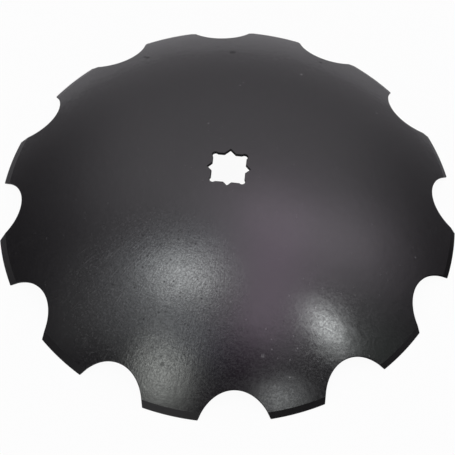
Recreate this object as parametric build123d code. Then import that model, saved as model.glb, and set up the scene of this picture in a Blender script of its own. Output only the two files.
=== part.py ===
from build123d import *
from math import asin, cos, sin
import os

# Notched harrow disc blade, pressed from one steel plate. Millimetres and degrees.
# The blade lies dome up: its cutting edge rests on Z = 0 and its axis is +Z.
# The flats of the axle hole run along X and Y.

# Pressed dish
RIM_DIAMETER = 457.2          # across the cutting edge, tab to tab
DISH_RADIUS = 398.1           # spherical radius of the hollow side
PLATE_THICKNESS = 3.5

# Ground cutting edge, on the crowned side
EDGE_LAND = 1.05              # blunt strip left at the rim, square to the plate
BEVEL_WIDTH = 9.0             # of the ground strip, along the crowned face

# Notches, punched square to the plate by an oval punch
NOTCH_COUNT = 12
NOTCH_TURN = 7.0              # of the first notch, from the flat of the axle hole at +X
PUNCH_WIDTH = 76.6            # of the oval, along the rim
PUNCH_LENGTH = 106.6          # of the oval, towards the centre of the blade
NOTCH_DEPTH = 29.9            # from the rim to the floor of the notch, along the plate

# Axle hole: two squares, one turned by 45 degrees, for two sizes of square axle
WIDE_SQUARE = 32.2            # across the flats of the large square
NARROW_SQUARE = 29.2          # across the flats of the turned square
POINT_RADIUS = 1.5            # at the corners of the turned square
RELIEF_RADIUS = 3.2           # of the round relief at each corner of the large square
RELIEF_REACH = 1.0            # of that relief, beyond the flats of the large square

# How far the punches run past both faces of the plate
PUNCH_OVERRUN = 12.0

RIM_RADIUS = RIM_DIAMETER / 2
CROWN_RADIUS = DISH_RADIUS + PLATE_THICKNESS
RIM_ANGLE = asin(RIM_RADIUS / (DISH_RADIUS + EDGE_LAND))
BEVEL_ANGLE = RIM_ANGLE - BEVEL_WIDTH / CROWN_RADIUS
CENTRE_HEIGHT = -DISH_RADIUS * cos(RIM_ANGLE)


def on_sphere(radius, angle):
    """The point of the XZ plane at this radius from the dish's centre and this angle from its axis."""
    return (radius * sin(angle), CENTRE_HEIGHT + radius * cos(angle))


def pressed_plate():
    """The round plate after pressing and grinding: half its section, turned about Z."""
    inner_crown = on_sphere(DISH_RADIUS, 0)
    inner_rim = on_sphere(DISH_RADIUS, RIM_ANGLE)
    outer_rim = on_sphere(DISH_RADIUS + EDGE_LAND, RIM_ANGLE)
    bevel_top = on_sphere(CROWN_RADIUS, BEVEL_ANGLE)
    outer_crown = on_sphere(CROWN_RADIUS, 0)
    with BuildPart() as plate:
        with BuildSketch(Plane.XZ):
            with BuildLine():
                ThreePointArc(inner_crown, on_sphere(DISH_RADIUS, RIM_ANGLE / 2), inner_rim)
                Line(inner_rim, outer_rim)
                Line(outer_rim, bevel_top)
                ThreePointArc(bevel_top, on_sphere(CROWN_RADIUS, BEVEL_ANGLE / 2), outer_crown)
                Line(outer_crown, inner_crown)
            make_face()
        revolve(axis=Axis.Z)
    return plate.part


def notch_punch():
    """The oval punch at azimuth 0, with its axis square to the plate at the rim."""
    rim_x, rim_z = on_sphere(CROWN_RADIUS, RIM_ANGLE)
    seat = Plane(origin=(rim_x, 0, rim_z), x_dir=(cos(RIM_ANGLE), 0, -sin(RIM_ANGLE)),
                 z_dir=(sin(RIM_ANGLE), 0, cos(RIM_ANGLE)))
    with BuildPart() as punch:
        with BuildSketch(seat):
            with Locations((PUNCH_LENGTH / 2 - NOTCH_DEPTH, 0)):
                Ellipse(PUNCH_LENGTH / 2, PUNCH_WIDTH / 2)
        extrude(amount=PLATE_THICKNESS + PUNCH_OVERRUN, both=True)
    return punch.part


def axle_punch():
    """The punch of the axle hole: a relieved square and a second square turned by 45 degrees."""
    relief = WIDE_SQUARE / 2 + RELIEF_REACH - RELIEF_RADIUS
    with BuildPart() as punch:
        with BuildSketch(Plane.XY.offset(CENTRE_HEIGHT + DISH_RADIUS - PUNCH_OVERRUN)):
            Rectangle(WIDE_SQUARE, WIDE_SQUARE)
            with GridLocations(2 * relief, 2 * relief, 2, 2):
                Circle(RELIEF_RADIUS)
            RectangleRounded(NARROW_SQUARE, NARROW_SQUARE, POINT_RADIUS, rotation=45)
        extrude(amount=PLATE_THICKNESS + 2 * PUNCH_OVERRUN)
    return punch.part


def disc_blade():
    """The whole blade, one piece of plate."""
    blade = pressed_plate() - axle_punch()
    punch = notch_punch()
    for index in range(NOTCH_COUNT):
        turn = NOTCH_TURN + index * 360 / NOTCH_COUNT
        blade -= Rot(Z=turn) * punch
    return blade


os.makedirs("parts", exist_ok=True)
export_step(disc_blade(), "parts/disc_blade.step")
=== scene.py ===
import math

import bpy
from mathutils import Matrix, Vector


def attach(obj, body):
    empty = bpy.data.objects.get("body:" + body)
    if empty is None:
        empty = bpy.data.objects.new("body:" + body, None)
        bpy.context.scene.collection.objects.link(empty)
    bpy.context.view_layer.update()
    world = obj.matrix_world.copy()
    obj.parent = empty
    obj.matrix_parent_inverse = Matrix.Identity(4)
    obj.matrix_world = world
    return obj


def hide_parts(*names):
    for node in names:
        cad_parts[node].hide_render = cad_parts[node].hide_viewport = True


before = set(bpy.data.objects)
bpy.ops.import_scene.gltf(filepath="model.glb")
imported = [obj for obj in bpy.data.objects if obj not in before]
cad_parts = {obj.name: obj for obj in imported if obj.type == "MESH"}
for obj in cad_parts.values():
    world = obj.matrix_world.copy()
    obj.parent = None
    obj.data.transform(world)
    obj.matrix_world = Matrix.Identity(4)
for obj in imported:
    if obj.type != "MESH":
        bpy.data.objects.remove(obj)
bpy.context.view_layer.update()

# The pressed plate: one round of steel sheet, dished to part of a sphere. It is drawn flat as two
# outlines, the axle hole and the notched rim, joined by rings of faces, and is then cast onto the dish.
rim_radius = 0.2286
dish_radius = 0.3981
plate_thickness = 0.0035
edge_land = 0.00105
crown_radius = dish_radius + plate_thickness
rim_angle = math.asin(rim_radius / (dish_radius + edge_land))
dish_centre = Vector((0, 0, -dish_radius * math.cos(rim_angle)))
blank_height = -dish_centre.z
ring_cuts = 47

# The ground bevel is a little off centre, so the strip is wider on one side of the blade.
bevel_angle = rim_angle - 0.009 / crown_radius
bevel_drift = 0.0018 / crown_radius
bevel_wide_side = math.radians(128)

# The notches: an oval punch, set in from the rim
notch_count = 12
notch_turn = math.radians(7)
notch_depth = 0.0299
punch_half_width = 0.0383
punch_half_length = 0.0533
notch_columns = 26
tab_columns = 14

# The axle hole: a square with relieved corners and a second square turned by 45 degrees, which
# was punched a little off the centre of the first
wide_half = 0.0161
narrow_half = 0.0146
point_radius = 0.0015
relief_radius = 0.0032
relief_reach = 0.001
square_drift = 0.0008


def bevel_limit(azimuth):
    """Polar angle of the upper edge of the ground strip."""
    return bevel_angle - bevel_drift * math.cos(azimuth - bevel_wide_side)


def rim_limit(azimuth):
    """Polar angle of the cutting edge, the same all round."""
    return rim_angle


def on_notch(notch, phase):
    """Polar angle and azimuth of a point of the punch on the crown; phase pi is the notch's floor."""
    out = punch_half_length * (1 + math.cos(phase)) - notch_depth
    side = punch_half_width * math.sin(phase)
    up = math.sqrt(crown_radius ** 2 - out ** 2 - side ** 2)
    x = out * math.cos(rim_angle) + up * math.sin(rim_angle)
    z = -out * math.sin(rim_angle) + up * math.cos(rim_angle)
    azimuth = notch_turn + notch * math.tau / notch_count + math.atan2(side, x)
    return math.acos(z / crown_radius), azimuth


def notch_corner(notch, limit, side):
    """The phase at which one side of a notch meets a limiting polar angle, by bisection."""
    halvings = 40
    low, high = math.pi / 4, math.pi
    for _ in range(halvings):
        middle = (low + high) / 2
        polar, azimuth = on_notch(notch, side * middle)
        if polar > limit(azimuth):
            low = middle
        else:
            high = middle
    return side * low


def notched_outline(limit):
    """Polar angle and azimuth of every column of the outline, and whether it lies on a tab's edge."""
    outline = []
    for notch in range(notch_count):
        start = notch_corner(notch, limit, -1) + math.tau
        end = notch_corner(notch, limit, 1)
        for step in range(notch_columns + 1):
            phase = start + (end - start) * step / notch_columns
            outline.append((*on_notch(notch, phase), step in (0, notch_columns)))
        here = on_notch(notch, end)[1]
        there = on_notch(notch + 1, notch_corner(notch + 1, limit, -1))[1]
        for step in range(1, tab_columns):
            azimuth = here + (there - here) * step / tab_columns
            outline.append((limit(azimuth), azimuth, True))
    return outline


def past_circle(x, y, centre, radius):
    """How far along the unit direction x, y the far side of a circle lies, or 0 where it is missed."""
    along = x * centre[0] + y * centre[1]
    across = centre[0] ** 2 + centre[1] ** 2 - along ** 2
    return along + math.sqrt(radius ** 2 - across) if across < radius ** 2 else 0


def hole_reach(azimuth):
    """Distance from the axis to the edge of the axle hole at this azimuth."""
    x, y = abs(math.cos(azimuth)), abs(math.sin(azimuth))
    reach = wide_half / max(x, y)
    relief = wide_half + relief_reach - relief_radius
    reach = max(reach, past_circle(x, y, (relief, relief), relief_radius))
    corner = narrow_half * math.sqrt(2) + square_drift * math.sin(azimuth)
    point = corner - point_radius * math.sqrt(2)
    turned = corner / (x + y)
    for centre in ((point, 0), (0, point)):
        rounded = past_circle(x, y, centre, point_radius)
        beyond = (x if centre[0] else y) * turned > point + point_radius / math.sqrt(2)
        reach = max(reach, rounded if beyond else turned)
    return reach


def flat_point(polar, azimuth):
    """The point of the flat blank that is pressed to this polar angle and azimuth."""
    reach = blank_height * math.tan(polar)
    return Vector((reach * math.cos(azimuth), reach * math.sin(azimuth), blank_height))


def add_outline(name, points):
    bpy.ops.mesh.primitive_circle_add(vertices=len(points), radius=1)
    ring = bpy.context.object
    ring.name = name
    for vertex, point in zip(ring.data.vertices, points):
        vertex.co = point
    return ring


bpy.ops.object.select_all(action="DESELECT")
edge = notched_outline(bevel_limit)
edge_ring = add_outline("blade", [flat_point(polar, azimuth) for polar, azimuth, _ in edge])
tab_edge = edge_ring.vertex_groups.new(name="tab edge")
tab_edge.add([column for column, point in enumerate(edge) if point[2]], 1, "REPLACE")
hole_points = [flat_point(math.asin(hole_reach(azimuth) / crown_radius), azimuth)
               for _, azimuth, _ in edge]
hole_ring = add_outline("hole", hole_points)
bpy.ops.object.select_all(action="DESELECT")
hole_ring.select_set(True)
edge_ring.select_set(True)
bpy.context.view_layer.objects.active = edge_ring
bpy.ops.object.join()
blade = bpy.context.object
bpy.ops.object.mode_set(mode="EDIT")
bpy.ops.mesh.select_all(action="SELECT")
bpy.ops.mesh.bridge_edge_loops(number_cuts=ring_cuts, interpolation="LINEAR")
bpy.ops.mesh.select_all(action="SELECT")
bpy.ops.mesh.normals_make_consistent(inside=False)
bpy.ops.object.mode_set(mode="OBJECT")
if blade.data.polygons[0].normal.z < 0:
    blade.data.flip_normals()


def apply_modifier(piece, kind, **settings):
    modifier = piece.modifiers.new(kind.title(), kind)
    for setting, value in settings.items():
        setattr(modifier, setting, value)
    bpy.ops.object.modifier_apply(modifier=modifier.name)


apply_modifier(blade, "CAST", factor=1, size=crown_radius, use_radius_as_size=False)

# Pressed plate is never quite even: it waves by a few tenths of a millimetre.
wave_height = 0.0003
wave_width = 0.045
waves = bpy.data.textures.new("plate waves", "CLOUDS")
waves.noise_scale = wave_width
waves.noise_depth = 1
apply_modifier(blade, "DISPLACE", texture=waves, strength=wave_height, mid_level=0.6)
apply_modifier(blade, "SOLIDIFY", thickness=plate_thickness, offset=-1, use_even_offset=True)

# The cutting edge: the ends of the tabs are drawn out to the rim and thinned to a narrow land,
# which leaves the ground strip on the crowned side.
tab_group = blade.vertex_groups["tab edge"].index
on_tab = {vertex.index for vertex in blade.data.vertices
          if any(member.group == tab_group and member.weight > 0.99 for member in vertex.groups)}
bpy.ops.object.mode_set(mode="EDIT")
bpy.ops.mesh.select_all(action="DESELECT")
bpy.ops.mesh.select_mode(type="FACE")
bpy.ops.object.mode_set(mode="OBJECT")
for face in blade.data.polygons:
    face.select = on_tab.issuperset(face.vertices)
bpy.ops.object.mode_set(mode="EDIT")
bpy.ops.mesh.extrude_region_move()
bpy.ops.object.mode_set(mode="OBJECT")

tab_spans = []
for notch in range(notch_count):
    span = []
    for limit in (bevel_limit, rim_limit):
        span.append(on_notch(notch, notch_corner(notch, limit, 1))[1])
        span.append(on_notch(notch + 1, notch_corner(notch + 1, limit, -1))[1])
    tab_spans.append(span)
for vertex in blade.data.vertices:
    if not vertex.select:
        continue
    azimuth = math.atan2(vertex.co.y, vertex.co.x)
    tab = int((azimuth - notch_turn) % math.tau / math.tau * notch_count)
    start, end, rim_start, rim_end = tab_spans[tab]
    share = (azimuth - start + math.pi) % math.tau - math.pi
    share /= end - start
    azimuth = rim_start + share * (rim_end - rim_start)
    radius = dish_radius
    if vertex.co.length > (crown_radius + dish_radius) / 2:
        radius += edge_land
    vertex.co = radius * Vector((math.sin(rim_angle) * math.cos(azimuth),
                                 math.sin(rim_angle) * math.sin(azimuth), math.cos(rim_angle)))

# Sharp edges are broken by half a millimetre, and the crowned edge of the notches, which the punch
# has pulled in, by nearly twice as much.
rolled_edge = 0.0009
broken_edge = 0.0005
sharp_angle = math.radians(40)
smooth_angle = math.radians(11)
crown_tolerance = 0.001
bpy.ops.object.mode_set(mode="EDIT")
bpy.ops.mesh.select_mode(type="EDGE")
bpy.ops.mesh.select_all(action="DESELECT")
bpy.ops.mesh.edges_select_sharp(sharpness=sharp_angle)
bpy.ops.object.mode_set(mode="OBJECT")
weights = blade.data.attributes.new("bevel_weight_edge", "FLOAT", "EDGE")
for line in blade.data.edges:
    if line.select:
        ends = [blade.data.vertices[index].co for index in line.vertices]
        on_crown = all(end.length > crown_radius - crown_tolerance for end in ends)
        on_notch = all(end.xy.length > rim_radius / 2 for end in ends)
        weights.data[line.index].value = 1 if on_crown and on_notch else broken_edge / rolled_edge
apply_modifier(blade, "BEVEL", width=rolled_edge, segments=2, limit_method="WEIGHT",
               use_clamp_overlap=False)
bpy.ops.object.shade_smooth_by_angle(angle=smooth_angle)
blade.location = dish_centre
bpy.ops.object.transform_apply(location=True, rotation=False, scale=False)
blade.data.name = "blade"

# The black paint: even and glossy, but for two worn zones, a large one on the left of the front and a
# small one on its right. There it is grainy, pitted, and streaked and scuffed along the radius. A few
# dark smudges and light specks lie where the photo shows them.
paint_colour = (0.0077, 0.0072, 0.0078)
speck_and_glint_colour = (0.13, 0.13, 0.13)
smudge_colour = (0.02, 0.02, 0.02)
left_worn_place = (-0.058, -0.13, 0.045)
right_wear_and_glints_place = (0.1, -0.165, 0.03)
relief_height = 0.001
grain_share = 0.088
unevenness_share = 0.08


def new_material(name):
    """An empty material. The helpers below add nodes to whichever one is in hand."""
    material = bpy.data.materials.new(name)
    material.use_nodes = True
    nodes, links = material.node_tree.nodes, material.node_tree.links
    nodes.clear()
    return material, nodes, links


def calculate(operation, *values):
    """One step of arithmetic on values that vary over the surface."""
    node = nodes.new("ShaderNodeMath")
    node.operation = operation
    for socket, value in zip(node.inputs, values):
        if isinstance(value, (int, float)):
            socket.default_value = value
        else:
            links.new(value, socket)
    return node.outputs[0]


def fade(value, start, end, low, high):
    """A smooth change from low to high as the value goes from start to end."""
    node = nodes.new("ShaderNodeMapRange")
    node.interpolation_type = "SMOOTHSTEP"
    links.new(value, node.inputs["Value"])
    for name, number in (("From Min", start), ("From Max", end), ("To Min", low), ("To Max", high)):
        node.inputs[name].default_value = number
    return node.outputs["Result"]


def noise(vector, scale, detail):
    """Cloudy noise from 0 to 1, with this many waves to the metre."""
    node = nodes.new("ShaderNodeTexNoise")
    node.inputs["Scale"].default_value = scale
    node.inputs["Detail"].default_value = detail
    links.new(vector, node.inputs["Vector"])
    return node.outputs["Fac"]


def vector_maths(operation, first, second=None):
    """The same for places and directions; a plain tuple stands for a fixed one."""
    node = nodes.new("ShaderNodeVectorMath")
    node.operation = operation
    for socket, value in zip(node.inputs, (first, second)):
        if isinstance(value, tuple):
            socket.default_value = value
        elif value is not None:
            links.new(value, socket)
    gives_number = operation in ("LENGTH", "DISTANCE", "DOT_PRODUCT")
    return node.outputs["Value" if gives_number else "Vector"]


def dots(vector, scale, reach, share):
    """Round spots, 1 in the middle, in this share of the cells of a grid of points."""
    node = nodes.new("ShaderNodeTexVoronoi")
    node.inputs["Scale"].default_value = scale
    links.new(vector, node.inputs["Vector"])
    pick = nodes.new("ShaderNodeSeparateColor")
    links.new(node.outputs["Color"], pick.inputs[0])
    chosen = calculate("LESS_THAN", pick.outputs[0], share)
    return calculate("MULTIPLY", fade(node.outputs["Distance"], 0.0, reach, 1, 0), chosen)


def together(operation, first, *others):
    """Several values joined one after the other."""
    for other in others:
        first = calculate(operation, first, other)
    return first


def dull_finish(colour):
    """A plain surface with no gloss."""
    node = nodes.new("ShaderNodeBsdfDiffuse")
    node.inputs["Color"].default_value = (*colour, 1)
    return node


def finish_surface(share, first, second):
    """Ends the material: its first finish where the share is 0, its second where it is 1."""
    mix = nodes.new("ShaderNodeMixShader")
    links.new(share, mix.inputs["Fac"])
    links.new(first.outputs[0], mix.inputs[1])
    links.new(second.outputs[0], mix.inputs[2])
    output = nodes.new("ShaderNodeOutputMaterial")
    links.new(mix.outputs[0], output.inputs["Surface"])


paint, nodes, links = new_material("black paint")
gloss = nodes.new("ShaderNodeBsdfPrincipled")
gloss.inputs["IOR"].default_value = 1.6
place = nodes.new("ShaderNodeTexCoord")
spot = place.outputs["Object"]
left_wear = fade(vector_maths("DISTANCE", spot, left_worn_place), 0.055, 0.11, 1, 0.12)
# The zone on the right also holds the painted glints.
right_wear_and_glints = fade(vector_maths("DISTANCE", spot, right_wear_and_glints_place), 0.035, 0.08, 1, 0.15)

# Streaks: noise that is stretched along the radius
flat = vector_maths("MULTIPLY", spot, (1, 1, 0))
rounded = vector_maths("MULTIPLY", vector_maths("NORMALIZE", flat), (0.16, 0.16, 0))
stretched = nodes.new("ShaderNodeCombineXYZ")
links.new(calculate("MULTIPLY", vector_maths("LENGTH", flat), 0.06), stretched.inputs["Z"])
streaks = noise(vector_maths("ADD", rounded, stretched.outputs[0]), 560, 1)

# Relief: fine grain and streaks in the worn zones, and a slight unevenness like orange peel all over
grain = noise(spot, 620, 2)
unevenness = noise(spot, 130, 1)
relief = calculate("ADD", grain, calculate("MULTIPLY", streaks, 0.6))
roughened = calculate("MAXIMUM", left_wear, calculate("MULTIPLY", right_wear_and_glints, 0.28))
relief = calculate("MULTIPLY", relief, calculate("MULTIPLY", roughened, grain_share))
relief = calculate("ADD", relief, calculate("MULTIPLY", unevenness, unevenness_share))
bump = nodes.new("ShaderNodeBump")
bump.inputs["Distance"].default_value = relief_height
links.new(relief, bump.inputs["Height"])
links.new(bump.outputs["Normal"], gloss.inputs["Normal"])
links.new(fade(noise(spot, 560, 1), 0.3, 0.7, 0.105, 0.215), gloss.inputs["Roughness"])


def mark(x, y, z, size):
    """1 within this distance of a place on the blade, with a ragged edge."""
    away = vector_maths("DISTANCE", spot, (x, y, z))
    ragged = calculate("ADD", away, calculate("MULTIPLY", noise(spot, 420, 1), size))
    return fade(ragged, size, 1.6 * size, 1, 0)


# Colour: light specks of dust and scuffs on the black, and light dots in the zone on the right that are
# painted glints
specks = together("MAXIMUM", mark(0.0625, 0.1437, 0.0434, 0.0018),
                  mark(0.0485, -0.1729, 0.0328, 0.0022))
dust = dots(spot, 70, 0.11, 0.35)
dust = calculate("MULTIPLY", dust, fade(noise(spot, 25, 0), 0.5, 0.62, 0, 1))
scuffs = calculate("MAXIMUM", fade(noise(spot, 520, 2), 0.52, 0.72, 0, 0.45),
                   fade(streaks, 0.62, 0.78, 0, 0.4))
scuffs = calculate("MULTIPLY", scuffs, left_wear)
specks = calculate("MULTIPLY", together("MAXIMUM", specks, dust, scuffs), 0.45)
# Painted glints: light dots in the zone on the right, painted into the colour as the sparkle of the
# lamps' highlights
painted_right_glints = calculate("MULTIPLY", dots(spot, 165, 0.2, 0.3), right_wear_and_glints)
specks = calculate("MAXIMUM", specks, painted_right_glints)
colour = nodes.new("ShaderNodeMix")
colour.data_type = "RGBA"
colour.inputs[6].default_value = (*paint_colour, 1)
colour.inputs[7].default_value = (*speck_and_glint_colour, 1)
links.new(specks, colour.inputs[0])
links.new(colour.outputs[2], gloss.inputs["Base Color"])

# Gloss: gone in the smudges, in the pits and on part of the worn zones
smudges = together("MAXIMUM", mark(-0.1014, 0.1618, 0.0269, 0.0024),
                   mark(-0.1045, 0.164, 0.025, 0.0018), mark(-0.0117, 0.1698, 0.0374, 0.0035),
                   mark(0.082, 0.1764, 0.025, 0.002), mark(-0.0418, -0.1876, 0.0263, 0.0027))
smudges = calculate("MULTIPLY", smudges, 0.6)
worn = calculate("MAXIMUM", left_wear, calculate("MULTIPLY", right_wear_and_glints, 0.6))
dulled = calculate("MULTIPLY", fade(noise(spot, 600, 2), 0.35, 0.7, 0, 0.45), worn)
left_pits = calculate("MULTIPLY", dots(spot, 150, 0.26, 0.8), fade(left_wear, 0.6, 1, 0, 0.9))
right_pits = calculate("MULTIPLY", dots(spot, 190, 0.36, 0.7), fade(right_wear_and_glints, 0.6, 1, 0, 0.45))
without_gloss = together("MAXIMUM", smudges, dulled, left_pits, right_pits)
finish_surface(without_gloss, gloss, dull_finish(smudge_colour))

# The ground strip and the cut walls are black too, but thinly coated, and have little gloss. On the
# right of the blade the strip is given almost no gloss, so it renders darker there.
thin_paint_colour = (0.009, 0.0086, 0.009)
plate_face_limit = 0.985
thin_paint, nodes, links = new_material("thin black paint on cut steel")
sheen = nodes.new("ShaderNodeBsdfPrincipled")
sheen.inputs["Base Color"].default_value = (*thin_paint_colour, 1)
sheen.inputs["Roughness"].default_value = 0.3
sheen.inputs["Specular IOR Level"].default_value = 0.1
place = nodes.new("ShaderNodeTexCoord")
sides = nodes.new("ShaderNodeSeparateXYZ")
links.new(place.outputs["Object"], sides.inputs[0])
on_right = calculate("MULTIPLY", fade(sides.outputs["X"], 0.1, 0.15, 0, 0.9),
                     fade(sides.outputs["Y"], -0.13, -0.08, 0.2, 1))
on_right = calculate("MULTIPLY", on_right, fade(sides.outputs["Y"], -0.04, 0.05, 1, 0.1))
finish_surface(on_right, sheen, dull_finish(thin_paint_colour))
blade.data.materials.clear()
blade.data.materials.append(paint)
blade.data.materials.append(thin_paint)
for face in blade.data.polygons:
    along_radius = abs(face.normal.dot((face.center - dish_centre).normalized()))
    face.material_index = 1 if along_radius < plate_face_limit else 0
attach(blade, "root")
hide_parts("disc_blade")

# The floor: a plain pale table under the blade. The camera sees it white, but for a faint shadow of
# the blade.
floor_width = 12
floor_gap = 0.0005
floor_colour = (0.55, 0.55, 0.55)
seen_white = 0.95
reflected_white = 0.1
bpy.ops.mesh.primitive_plane_add(size=floor_width, location=(0, 0, -floor_gap))
floor = bpy.context.object
floor.name = "floor"
table, nodes, links = new_material("pale table")
path = nodes.new("ShaderNodeLightPath")
white_share = calculate("MAXIMUM", calculate("MULTIPLY", path.outputs["Is Camera Ray"], seen_white),
                        calculate("MULTIPLY", path.outputs["Is Glossy Ray"], reflected_white))
finish_surface(white_share, dull_finish(floor_colour), nodes.new("ShaderNodeEmission"))
floor.data.materials.append(table)

# The camera stands in front of the blade and looks down on its crown, as in the photograph.
camera_aim = Vector((0.0020, -0.0221, 0))
camera_distance = 1.1703
camera_azimuth = math.radians(-85.90)
camera_elevation = math.radians(59.475)
camera_roll = math.radians(1.625)
film_width = 36
focal_length = 92.69
camera_data = bpy.data.cameras.new("camera")
camera_data.sensor_width = film_width
camera_data.lens = focal_length
camera = bpy.data.objects.new("camera", camera_data)
bpy.context.scene.collection.objects.link(camera)


def towards(azimuth, elevation):
    """The unit direction at this azimuth and height angle."""
    return Vector((math.cos(elevation) * math.cos(azimuth), math.cos(elevation) * math.sin(azimuth),
                   math.sin(elevation)))


camera_place = camera_aim + camera_distance * towards(camera_azimuth, camera_elevation)
camera.matrix_world = (Matrix.Translation(camera_place)
                       @ Matrix.Rotation(camera_azimuth + math.pi / 2, 4, "Z")
                       @ Matrix.Rotation(math.pi / 2 - camera_elevation, 4, "X")
                       @ Matrix.Rotation(camera_roll, 4, "Z"))
bpy.context.scene.camera = camera

# The light: a plain room with a bright ceiling and back and a darker front and sides. In it hang
# several soft panels and lamps, each slightly tinted, which the gloss of the paint shows as highlights.
world = bpy.data.worlds.new("studio")
bpy.context.scene.world = world
world.use_nodes = True
nodes, links = world.node_tree.nodes, world.node_tree.links
nodes.clear()
sky = nodes.new("ShaderNodeTexCoord")
direction = sky.outputs["Generated"]


def glow_patch(azimuth, elevation, long, short, turn, level):
    """A soft oval patch of light in the sky: its middle, its two half widths and the direction of the
    longer one in plan, all in degrees, and its brightness in the middle."""
    middle = towards(math.radians(azimuth), math.radians(elevation))
    turn = math.radians(turn)
    along = Vector((math.cos(turn), math.sin(turn), 0))
    along = (along - along.dot(middle) * middle).normalized()
    squares = []
    for side, width in ((along, long), (middle.cross(along), short)):
        widths_away = vector_maths("DOT_PRODUCT", direction, tuple(side / math.radians(width)))
        squares.append(calculate("POWER", widths_away, 2))
    away = calculate("MULTIPLY", calculate("ADD", *squares), -0.5)
    return calculate("MULTIPLY", calculate("EXPONENT", away), level)


def tinted(value, colour):
    """Light of this colour, as bright as the value."""
    node = nodes.new("ShaderNodeVectorMath")
    node.operation = "SCALE"
    node.inputs[0].default_value = colour
    links.new(value, node.inputs["Scale"])
    return node.outputs[0]


# The room
split = nodes.new("ShaderNodeSeparateXYZ")
links.new(direction, split.inputs[0])
across, depth, height = split.outputs
back = fade(depth, -0.3, 0.3, 0, 1)
left_side = fade(across, -1.0, -0.4, 0.06, 0.97)
right_side = fade(across, 0.35, 1.0, 1, 0.15)
front_corner = fade(calculate("SUBTRACT", across, depth), 0.6, 1.0, 1, 0.56)
ceiling = fade(height, 0.1, 0.95, 0.48, 1)
front_wall = fade(depth, -0.5, -0.2, 0.03, 1)
room = together("MULTIPLY", left_side, right_side, front_corner, ceiling, front_wall)
horizon = calculate("MULTIPLY", back, fade(height, 0.05, 0.33, 0.05, 0))
room = calculate("ADD", room, horizon)
room = together("SUBTRACT", room, glow_patch(160, 55, 14, 8, 0, 0.18),
                glow_patch(-82, 61, 5, 5, 0, 0.16))
back_room = calculate("MULTIPLY", room, back)
front_room = calculate("MULTIPLY", room, calculate("SUBTRACT", 1, back))

# The panels and lamps
pink_panels = together("ADD", glow_patch(8, 76, 16, 10, 90, 0.6), glow_patch(-50.5, 68, 9, 7, 0, 0.36))
pale_panels = together("ADD", glow_patch(48.5, 66, 16, 7.5, -10, 0.6),
                       glow_patch(23, 46, 10, 10, 0, 0.63))
green_panels = together("ADD", glow_patch(-50, 59, 7, 5, 0, 0.2), glow_patch(-18, 38, 10, 8, 0, 0.15))
white_lamps = together("ADD", glow_patch(-161.5, 76.8, 7.2, 4.9, 0, 6.8),
                       glow_patch(-21.4, 53.5, 5.0, 2.75, -30, 11.7),
                       glow_patch(-59.8, 45.5, 5, 3.5, 0, 3.5))
yellow_lamp = glow_patch(-118, 51.8, 6.6, 5.1, 84, 5.75)
blue_lamps = together("ADD", glow_patch(182, 67, 8, 6, 0, 0.6), glow_patch(-123, 66, 6, 6, 0, 0.8),
                      glow_patch(150, 79, 8, 6, 0, 0.5), glow_patch(-97, 64, 6, 5, 90, 0.4),
                      glow_patch(-150, 58, 6, 6, 0, 0.3))
low_lamp = calculate("MULTIPLY", glow_patch(-112, 8, 16, 9, 0, 4.0), fade(depth, -0.4, 0, 1, 0))

lights = (tinted(front_room, (0.99, 1, 1.01)), tinted(pink_panels, (1.3, 0.8, 1.3)),
          tinted(pale_panels, (1.07, 0.95, 1.08)), tinted(white_lamps, (0.96, 1, 0.995)),
          tinted(yellow_lamp, (0.96, 1, 0.95)), tinted(blue_lamps, (0.9, 1, 1.12)),
          tinted(low_lamp, (1, 1, 1)), tinted(green_panels, (0.8, 1.15, 0.9)))
total = tinted(back_room, (1.0, 0.965, 1.02))
for light in lights:
    total = vector_maths("ADD", total, light)
background = nodes.new("ShaderNodeBackground")
links.new(total, background.inputs["Color"])
output = nodes.new("ShaderNodeOutputWorld")
links.new(background.outputs[0], output.inputs["Surface"])
bpy.context.scene.view_settings.view_transform = "Standard"
